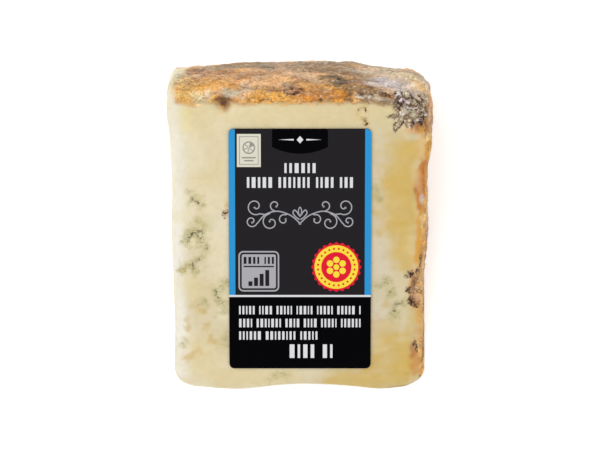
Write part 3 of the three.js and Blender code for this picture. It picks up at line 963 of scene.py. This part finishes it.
def mould_colour(recipe, fine, coarse):
    """Grey, lilac and olive lumps, painted light on their tops, painted shade in the gaps between them."""
    lump = recipe.ragged("lump", fine, 3.0)
    colour = recipe.lay(flat(SAGE), recipe.between(lump, 0.2, 0.9), LILAC)
    colour = recipe.lay(colour, recipe.between(lump, -0.8, -1.4, 0.8), TAN)
    gap = recipe.plus(recipe.ragged("gap", fine, 2.2), coarse, 2.0)
    # Painted light on the lumps' middles, and painted shade, brown and then dark, towards the gaps.
    shade = recipe.plus(recipe.between(gap, 0.0, 0.7, 1.2, 0.72), fine, 3.0)
    colour = recipe.lay(recipe.shaded(colour, shade), recipe.between(gap, 0.4, 0.1, 0.5), BROWN)
    return recipe.lay(colour, recipe.between(gap, 0.11, -0.14, 0.9), DARK)


def film_material():
    """Clear film: see-through, with a gloss that grows where it is seen edge on."""
    recipe = Recipe("film")
    recipe.tree.nodes.remove(recipe.shader)
    wrinkles = recipe.bump(recipe.noise(4.0, 3, (2.5, 1, 1), distortion=1.0), 0.35)
    clear = recipe.node("ShaderNodeBsdfTransparent")
    gloss = recipe.node("ShaderNodeBsdfGlossy", Roughness=0.1, Normal=wrinkles, Color=(1, 1, 1, 1))
    facing = recipe.node("ShaderNodeLayerWeight", Blend=0.5, Normal=wrinkles).outputs["Facing"]
    sheen = recipe.plus(0.01, recipe.math("POWER", facing, 8.0), 0.2)
    mixed = recipe.node("ShaderNodeMixShader", Fac=sheen)
    recipe.feed(mixed.inputs[1], clear.outputs[0])
    recipe.feed(mixed.inputs[2], gloss.outputs[0])
    recipe.feed(recipe.output.inputs["Surface"], mixed.outputs[0])
    return recipe.material


def make_cheese_and_film():
    """The cheese, with what its material needs to know at each point, and the film round it."""
    points, outward, quads = wedge_skin()
    depth = depth_in_paste(points)
    rind = smoothstep(-depth, -0.5, 0.5)
    mould, gap, lump = mould_lumps(warp(points, MOULD_WARP))
    wavy = warp(points, MARK_WARP)
    vein = np.minimum(to_marks(wavy, VEINS, on_front), hidden_veins(points) + 12 * face_share(points))
    pit = to_marks(wavy, PITS, on_front)
    cleft = to_marks(wavy, CLEFTS, on_rind)
    solid = solid_relief(points, outward, mould)
    fine = fine_relief(points, rind, mould, gap, vein, np.minimum(pit, cleft))
    surface = solid + free_share(points, outward) * fine
    film_height = drawn_tight(np.maximum(surface, solid - FILM_DIP), quads)
    cheese = mesh_object("cheese", set_down(points, outward, surface - CHEESE_INSET, CHEESE_INSET), quads)
    paste, crust = cheese_paint(points, depth)
    calm = smoothstep(-to_marks(points, CALM, on_rind), -4, 1)
    # How far the film bridges over the cheese, for painted shade in the hollows.
    hollow = smoothstep(film_height - surface, 0.15, 1.1)
    stain = to_marks(wavy, STAINS, on_front)
    traits = {"paste": paste, "crust": crust, "rind": -depth, "mould": mould, "gap": gap, "lump": lump}
    traits |= {"calm": calm, "vein": vein, "stain": stain, "pit": pit, "cleft": cleft, "hollow": hollow}
    for name, values in traits.items():
        store(cheese.data, name, values)
    cheese.data.materials.append(cheese_material())
    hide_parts("wedge")
    film = mesh_object("film", set_down(points, outward, film_height, 0), quads)
    film.data.materials.append(film_material())
    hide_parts("wedge")


def on_label(spot, above):
    """A place on the label, in millimetres from the wheel's axis, and above the labelled face."""
    return on_front(spot[0], LABEL_MIDDLE + spot[1] * PRINT_STRETCH, above)


def around(centre, radius, turn):
    """The place at a radius from a centre, at an angle in degrees."""
    turn = math.radians(turn)
    return centre[0] + radius * math.cos(turn), centre[1] + radius * math.sin(turn)


def arc(centre, radius, start, end, steps=6):
    """Points on an arc between two angles in degrees."""
    return [around(centre, radius, turn) for turn in np.linspace(start, end, steps + 1)]


def circle(centre, radius, steps=32):
    return arc(centre, radius, 0, 360, steps)[:-1]


def box(left, right, low, high, corners=(0, 0, 0, 0)):
    """A box, its corners rounded by those radii from the lower left one round to the upper left one."""
    outline = []
    for corner, radius in enumerate(corners):
        across = right - radius if corner in (1, 2) else left + radius
        up = high - radius if corner in (2, 3) else low + radius
        start = 180 + 90 * corner
        outline += arc((across, up), radius, start, start + 90) if radius else [(across, up)]
    return outline


def inset_box(edges, inset, radius=0):
    """A box that much inside the edges, which are the left, right, low and high one."""
    left, right, low, high = edges
    return box(left + inset, right - inset, low + inset, high - inset, (radius,) * 4)


def curl(start, centre, radii, first, sweep, steps=36):
    """A line that goes from a place into a spiral, from its outer to its inner radius."""
    turns = np.linspace(0, 1, steps + 1)
    radius = radii[0] - (radii[0] - radii[1]) * turns**1.3
    angle = np.radians(first + sweep * turns)
    spiral = np.stack([centre[0] + radius * np.cos(angle), centre[1] + radius * np.sin(angle)], axis=1)
    return np.concatenate([[start], spiral])


def smooth_line(stops, steps=8):
    """A smooth line through places, by Catmull and Rom's rule."""
    stops = np.array([stops[0], *stops, stops[-1]], float)
    line = []
    for before, start, end, after in zip(stops[:-3], stops[1:-2], stops[2:-1], stops[3:]):
        for share in np.arange(steps) / steps:
            bend = 2 * start + (end - before) * share + (2 * before - 5 * start + 4 * end - after) * share**2
            line.append((bend + (3 * start - before - 3 * end + after) * share**3) / 2)
    return np.array([*line, stops[-1]])


class Ink:
    """The shapes that one ink prints, each a thin plate on a layer of its own."""

    def __init__(self):
        self.points = []
        self.polygons = []
        self.count = 0

    def heights(self, layer):
        """The shape's bottom and top. Each shape is a hair higher than the last, so that none coincide."""
        self.count += 1
        bottom = PAPER_LIFT + PAPER_THICKNESS + INK_LAYER * layer
        return bottom, bottom + INK_LAYER * (0.8 + 0.1 * (self.count % 3))

    def add(self, points, polygons):
        base = len(self.points)
        self.points += points
        self.polygons += [[corner + base for corner in polygon] for polygon in polygons]

    def plate(self, outline, layer=0):
        self.add(*plate(outline, *self.heights(layer)))

    def strip(self, left, right, layer=0, closed=False):
        """A plate between two rows of places."""
        count = len(left)
        nears = range(count if closed else count - 1)
        cells = [(near, count + near, count + (near + 1) % count, (near + 1) % count) for near in nears]
        self.add(*slab([*left, *right], cells, *self.heights(layer)))

    def line(self, path, width, layer=0):
        """A drawn line along a path."""
        path = np.array(path, float)
        ahead = np.gradient(path, axis=0)
        ahead /= np.linalg.norm(ahead, axis=1)[:, None]
        beside = np.stack([-ahead[:, 1], ahead[:, 0]], axis=1) * width / 2
        self.strip(path + beside, path - beside, layer)

    def blocks(self, left, right, low, high, block, seed, layer=0):
        """A row of small upright blocks in groups, where the pack has a line of words."""
        draw = np.random.default_rng(seed)
        count = round((right - left) / block)
        widths = draw.uniform(0.4, 0.9, count)
        group_ends = np.cumsum(draw.integers(4, 9, count))
        gaps = np.where(np.isin(np.arange(1, count + 1), group_ends), 1.5, 0.55)
        scale = (right - left) / (widths.sum() + gaps[:-1].sum())
        start = left
        for width, gap in zip(widths * scale, gaps * scale):
            self.plate(box(start, start + width, low, high), layer)
            start += width + gap

    def make(self, name):
        piece = mesh_object(f"print_{name}", self.points, self.polygons)
        piece.data.shade_flat()
        piece.data.materials.append(paper_material(f"ink_{name}", INKS[name]))


def slab(spots, cells, bottom, top):
    """A thin slab on the label, as points and polygons. Each cell lists its spots anticlockwise."""
    count = len(spots)
    points = [on_label(spot, above) for above in (bottom, top) for spot in spots]
    sides = dict.fromkeys(side for cell in cells for side in zip(cell, (*cell[1:], cell[0])))
    walls = [(start, end, end + count, start + count) for start, end in sides if (end, start) not in sides]
    roof = [[corner + count for corner in cell] for cell in cells]
    return points, [*walls, *roof, *(cell[::-1] for cell in cells)]


def plate(outline, bottom, top):
    """A slab of a shape, given anticlockwise."""
    cells = tessellate_polygon([[Vector((*spot, 0)) for spot in outline]])
    corners = np.array(outline)[np.array(cells)]
    turn = np.cross(corners[:, 1] - corners[:, 0], corners[:, 2] - corners[:, 0]).sum()
    return slab(outline, [tuple(cell if turn > 0 else cell[::-1]) for cell in cells], bottom, top)


def paper_material(name, colour):
    """Coated paper, with ink or bare."""
    recipe = Recipe(name)
    grain = recipe.bump(recipe.noise(0.35, 3), 0.004)
    recipe.surface(Base_Color=flat(colour), Roughness=0.42, Specular_IOR_Level=0.01, Normal=grain)
    return recipe.material


def draw_scroll(ink):
    """The flourish under the title: a stem with curls to each side of a small flower."""
    stem = smooth_line([(0, 7.9), (-1.9, 9.7), (-3.8, 10.8), (-7.0, 11.6), (-10.5, 10.6), (-12.9, 7.9)])
    end = curl(stem[-1], (-14.6, 8.55), (1.7, 0.4), -25, -400)
    curls = (
        np.concatenate([stem[:-1], end[1:]]),
        curl((-10.5, 10.6), (-13.5, 13.0), (2.5, 0.4), -60, -420),
        curl((-7.7, 11.65), (-7.5, 13.35), (1.6, 0.5), -100, -300),
        curl((-8.85, 11.2), (-8.85, 8.3), (2.5, 0.4), 105, 400),
        curl((-3.8, 10.8), (-4.9, 9.05), (1.55, 0.6), 70, 300),
    )
    petal = [(-0.15, 9.1), (-1.2, 9.8), (-2.1, 11.05), (-1.7, 11.95), (-0.9, 11.35), (-0.35, 10.4)]
    petal = smooth_line(petal)
    for side in (1, -1):
        for path in (*curls, petal):
            ink.line(path * (side, 1), SCROLL_WIDTH)
        for path in curls:
            ink.plate(circle(path[-1] * (side, 1), SCROLL_WIDTH * 0.9, 12))
    bud = [(0, 9.9), (0.45, 11.15), (0.4, 12.2), (0, 12.8), (-0.4, 12.2), (-0.45, 11.15), (0, 9.9)]
    ink.line(smooth_line(bud), 0.3)
    ink.plate(circle((0, 7.95), 0.42, 12))


def draw_seal(red, yellow):
    """A round seal with a toothed rim and a plain six-petalled flower."""
    centre, radius, teeth, petals = SEAL["centre"], SEAL["radius"], SEAL["teeth"], SEAL["petals"]
    rim = []
    for tooth in range(teeth):
        turn = 360 * tooth / teeth
        hub = around(centre, radius * SEAL_TEETH[0], turn)
        rim += arc(hub, radius * SEAL_TEETH[1], turn - 80, turn + 80, 4)
    red.plate(rim)
    yellow.plate(circle(centre, radius * SEAL_DISCS["rim"], 48), 1)
    red.plate(circle(centre, radius * SEAL_DISCS["field"], 48), 2)
    for dot in range(teeth):
        spot = around(centre, radius * SEAL_DOTS[0], 360 * (dot + 0.5) / teeth)
        red.plate(circle(spot, radius * SEAL_DOTS[1], 8), 2)
    for petal in range(petals):
        spot = around(centre, radius * SEAL_PETALS[0], 360 * petal / petals + 90)
        yellow.plate(circle(spot, radius * SEAL_PETALS[1], 16), 3)
    yellow.plate(circle(centre, radius * SEAL_DISCS["bud"], 16), 3)


def draw_badge(silver, charcoal):
    """A framed grey tablet with a heading line, a rule and rising bars."""
    edges, corner, ring, margin = BADGE["edges"], BADGE["corner"], BADGE["ring"], BADGE["margin"]
    left, right, low, high = edges
    silver.strip(inset_box(edges, ring, corner - ring), inset_box(edges, 0, corner), closed=True)
    silver.plate(inset_box(edges, BADGE["gap"], 0.6))
    charcoal.blocks(left + margin, right - margin, high - 3.9, high - 1.8, 1.25, seed=5, layer=1)
    charcoal.plate(box(left + margin, right - margin, high - 4.9, high - 4.5), 1)
    foot = low + BARS["low"]
    for bar in range(BARS["count"]):
        start = (left + right) / 2 + BARS["pitch"] * (bar - BARS["count"] / 2) + BARS["gap"] / 2
        top = foot + BARS["height"] + BARS["rise"] * bar
        charcoal.plate(box(start, start + BARS["pitch"] - BARS["gap"], foot, top), 1)


def draw_panel(cream, pewter):
    """A small pale panel with a frame line, and a cut wheel over two rules."""
    edges, inset = PANEL["edges"], PANEL["inset"]
    left, right, low, high = edges
    cream.plate(inset_box(edges, 0))
    pewter.strip(inset_box(edges, inset + PANEL["line"]), inset_box(edges, inset), 1, closed=True)
    middle = (left + right) / 2
    hub = (middle, high - WHEEL["down"])
    pewter.strip(circle(hub, WHEEL["inner"], 24), circle(hub, WHEEL["outer"], 24), 1, closed=True)
    pewter.plate([hub, *arc(hub, WHEEL["middle"], 20, 75)], 1)
    for turn in SPOKES:
        pewter.line([around(hub, 0.2, turn), around(hub, WHEEL["middle"], turn)], WHEEL["line"], 1)
    for rule, half in ((low + 2.6, 2.1), (low + 1.7, 1.4)):
        pewter.plate(box(middle - half, middle + half, rule, rule + 0.4), 1)


def draw_tab(black, white):
    """A black tab at the label's top, with a diamond between two pointed rules."""
    half = TAB["half_width"]
    drop = TAB["side"] - TAB["low"]
    radius = (half**2 + drop**2) / (2 * drop)
    spread = math.degrees(math.asin(half / radius))
    edge = arc((0, TAB["low"] + radius), radius, 270 - spread, 270 + spread, 12)
    black.plate([*edge, (half, PRINT_HEIGHT / 2), (-half, PRINT_HEIGHT / 2)])
    middle = (TAB["side"] + PRINT_HEIGHT / 2) / 2 - 0.5
    white.plate([(0, middle - 1.1), (1.0, middle), (0, middle + 1.1), (-1.0, middle)], 1)
    for side in (1, -1):
        rule = [(1.9 * side, middle - 0.25), (6.4 * side, middle), (1.9 * side, middle + 0.25)]
        white.plate(rule if side > 0 else rule[::-1], 1)


def make_label():
    """The label's paper, and a piece of print for each ink."""
    half_width, half_height = LABEL_WIDTH / 2, PRINT_HEIGHT / 2
    whole = inset_box((-half_width, half_width, -half_height, half_height), 0, LABEL_CORNER)
    paper = mesh_object("label_paper", *plate(whole, PAPER_LIFT, PAPER_LIFT + PAPER_THICKNESS))
    paper.data.shade_flat()
    paper.data.materials.append(paper_material("label_paper", INKS["charcoal"]))
    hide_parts("label")
    inks = {name: Ink() for name in INKS}
    field_corners = (LABEL_CORNER, LABEL_CORNER, 0, 0)
    stripes = FIELD_TOP + SEPARATOR
    inks["black"].plate(box(-half_width, half_width, -half_height, FIELD_TOP, field_corners))
    inks["white"].plate(box(-half_width, half_width, FIELD_TOP, stripes))
    left_corners, right_corners = (0, 0, 0, LABEL_CORNER), (0, 0, LABEL_CORNER, 0)
    for left, corners in ((-half_width, left_corners), (half_width - STRIPE_WIDTH, right_corners)):
        inks["blue"].plate(box(left, left + STRIPE_WIDTH, stripes, half_height, corners))
    for line in WORD_LINES:
        inks["white"].blocks(*line)
    draw_tab(inks["black"], inks["white"])
    draw_panel(inks["cream"], inks["pewter"])
    draw_badge(inks["silver"], inks["charcoal"])
    draw_seal(inks["red"], inks["yellow"])
    draw_scroll(inks["silver"])
    for name, ink in inks.items():
        ink.make(name)


def aim_along(thing, direction):
    """Turns a camera or a lamp to look in a direction."""
    thing.rotation_euler = direction.to_track_quat("-Z", "Y").to_euler()


def add_camera():
    """The camera, which looks down at the labelled face from in front."""
    camera = new_object("camera", bpy.data.cameras.new("camera"))
    back = Vector((0, -math.cos(CAMERA_ELEVATION), math.sin(CAMERA_ELEVATION)))
    camera.location = Vector(to_frame(on_front(0, CAMERA_AIM_ALONG))) + back * CAMERA_DISTANCE
    aim_along(camera, -back)
    camera.data.sensor_width = SENSOR_WIDTH
    camera.data.lens = SENSOR_WIDTH * CAMERA_DISTANCE / VIEW_WIDTH
    camera.data.clip_end = 20
    bpy.context.scene.camera = camera


def add_lamp(name, location, size, power):
    """A square lamp that shines at the frame's origin."""
    light = bpy.data.lights.new(name, "AREA")
    light.size = size
    light.energy = power
    lamp = new_object(name, light)
    lamp.location = location
    aim_along(lamp, -Vector(location))


def add_stage():
    """White surroundings, two lamps and a pale floor."""
    world = bpy.data.worlds.new("studio")
    bpy.context.scene.world = world
    world.use_nodes = True
    sky = world.node_tree.nodes["Background"]
    sky.inputs["Color"].default_value = (1, 1, 1, 1)
    sky.inputs["Strength"].default_value = SKY_STRENGTH
    for lamp in LAMPS:
        add_lamp(*lamp)
    mesh = bpy.data.meshes.new("floor")
    corners = [(FLOOR["reach"] * x, FLOOR["reach"] * y, 0) for x, y in ((-1, -1), (1, -1), (1, 1), (-1, 1))]
    mesh.from_pydata(corners, [], [(0, 1, 2, 3)])
    recipe = Recipe("floor")
    recipe.surface(Base_Color=(*[FLOOR["grey"]] * 3, 1), Roughness=0.9)
    recipe.surface(Emission_Color=(1, 1, 1, 1), Emission_Strength=FLOOR["glow"])
    mesh.materials.append(recipe.material)
    floor = new_object("floor", mesh)
    bpy.context.scene.view_settings.view_transform = "Standard"


add_camera()
add_stage()
make_cheese_and_film()
make_label()
